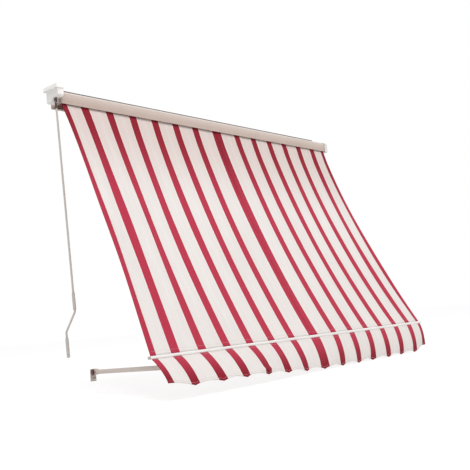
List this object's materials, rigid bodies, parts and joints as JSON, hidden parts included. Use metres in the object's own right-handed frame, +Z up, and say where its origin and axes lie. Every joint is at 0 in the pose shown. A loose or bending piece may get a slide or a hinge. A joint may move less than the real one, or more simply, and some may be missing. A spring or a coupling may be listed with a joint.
{
  "type": "drop-arm window awning",
  "caption": "Wall-mounted window awning with a hooded roller, a hand crank on a universal joint, a striped cloth canopy, a front bar with a scalloped valance and two drop arms.",
  "frame": {"origin": "middle of the hood's back face, on the wall", "axes": "+X along the width towards the idler end, +Y into the wall, +Z up; the awning stands out towards -Y"},
  "size_m": [2.5204, 0.9335, 1.7709],
  "materials": {
    "hood_enamel": "cream-beige powder coat",
    "cap_plastic": "cream moulded plastic",
    "seal_rubber": "dark grey rubber",
    "steel": "zinc-plated steel",
    "joint_brown": "dark brown glass-filled plastic",
    "crank_enamel": "grey-beige powder coat",
    "grip_plastic": "grey-beige plastic",
    "bar_enamel": "white powder coat",
    "arm_enamel": "beige powder coat",
    "maroon_plastic": "dark maroon plastic",
    "striped_cloth": "woven awning cloth, cream with crimson lengthwise stripes"
  },
  "bodies": {
    "wall_frame": {"hood": "hood_enamel", "wall_seal": "seal_rubber", "hood_screw_1": "steel", "hood_screw_2": "steel", "hood_screw_3": "steel", "gear_cap": "cap_plastic", "end_cap": "cap_plastic", "bearing_plate_left": "steel", "bearing_plate_right": "steel", "idler_pin": "steel", "wall_bracket_left": "crank_enamel", "wall_bracket_right": "crank_enamel", "bracket_screw_left_1": "steel", "bracket_screw_left_2": "steel", "bracket_screw_right_1": "steel", "bracket_screw_right_2": "steel", "pivot_cap_left": "maroon_plastic", "pivot_cap_right": "maroon_plastic", "pivot_pin_left": "steel", "pivot_pin_right": "steel"},
    "roller": {"roller_tube": "steel", "cloth_roll": "striped_cloth", "drive_plug": "steel", "idler_plug": "grip_plastic", "worm_wheel": "steel"},
    "worm": {"worm_shaft": "steel", "upper_fork": "joint_brown"},
    "cross": {"joint_cross": "steel"},
    "crank": {"lower_fork": "joint_brown", "crank_rod": "crank_enamel", "grip_cap": "grip_plastic"},
    "upper_grip": {"upper_grip": "grip_plastic"},
    "lower_grip": {"lower_grip": "grip_plastic"},
    "canopy": {"canopy": "striped_cloth"},
    "arm_left": {"arm_heel_left": "arm_enamel", "arm_tube_left": "arm_enamel", "arm_tip_left": "arm_enamel"},
    "arm_right": {"arm_heel_right": "arm_enamel", "arm_tube_right": "arm_enamel", "arm_tip_right": "arm_enamel"},
    "bar": {"front_bar": "bar_enamel", "bar_cap_left": "crank_enamel", "bar_cap_right": "crank_enamel", "bar_carrier_left": "crank_enamel", "bar_carrier_right": "crank_enamel", "bar_pin_left": "steel", "bar_pin_right": "steel", "valance": "striped_cloth"}
  },
  "joints": [
    {"name": "arm_swing", "type": "hinge", "parent": "wall_frame", "child": "arm_left", "pos_m": [-1.035, -0.03, -1.58595], "axis": [-1, 0, 0], "range_deg": [0, 85]},
    {"name": "arm_swing_right", "type": "hinge", "parent": "wall_frame", "child": "arm_right", "pos_m": [1.035, -0.03, -1.58595], "axis": [-1, 0, 0], "range_deg": [0, 85]},
    {"name": "bar_level", "type": "hinge", "parent": "arm_left", "child": "bar", "pos_m": [0, -0.7907, -1.5647], "axis": [-1, 0, 0], "range_deg": [-85, 0]},
    {"name": "canopy_turn", "type": "hinge", "parent": "wall_frame", "child": "canopy", "pos_m": [0, -0.08443, 0.00457], "axis": [-1, 0, 0], "range_deg": [-26, 0], "deforming": ["canopy"]},
    {"name": "roller_spin", "type": "hinge", "parent": "wall_frame", "child": "roller", "pos_m": [0, -0.062, -0.006], "axis": [-1, 0, 0], "range_deg": [0, 1940]},
    {"name": "worm_spin", "type": "hinge", "parent": "wall_frame", "child": "worm", "pos_m": [-1.228, -0.1026, -0.0525], "axis": [0, 0, 1], "continuous": true},
    {"name": "cross_swing", "type": "hinge", "parent": "worm", "child": "cross", "pos_m": [-1.228, -0.1026, -0.0525], "axis": [1, 0, 0], "range_deg": [-57, 5]},
    {"name": "crank_swing", "type": "hinge", "parent": "cross", "child": "crank", "pos_m": [-1.228, -0.1026, -0.0525], "axis": [0, 0.9991, -0.0419], "range_deg": [0, 59]},
    {"name": "upper_grip_spin", "type": "hinge", "parent": "crank", "child": "upper_grip", "pos_m": [-1.228, -0.1026, -0.0525], "axis": [0.0122, -0.0419, -0.999], "continuous": true},
    {"name": "lower_grip_spin", "type": "hinge", "parent": "crank", "child": "lower_grip", "pos_m": [-1.27317, -0.16029, -1.42895], "axis": [0.0122, -0.0419, -0.999], "continuous": true}
  ],
  "couplings": [
    {"joint": "arm_swing_right", "follows": "arm_swing", "ratio": 1},
    {"joint": "bar_level", "follows": "arm_swing", "ratio": -1},
    {"joint": "canopy_turn", "follows": "arm_swing", "ratio": -0.30327},
    {"joint": "roller_spin", "follows": "arm_swing", "ratio": 22.81}
  ]
}
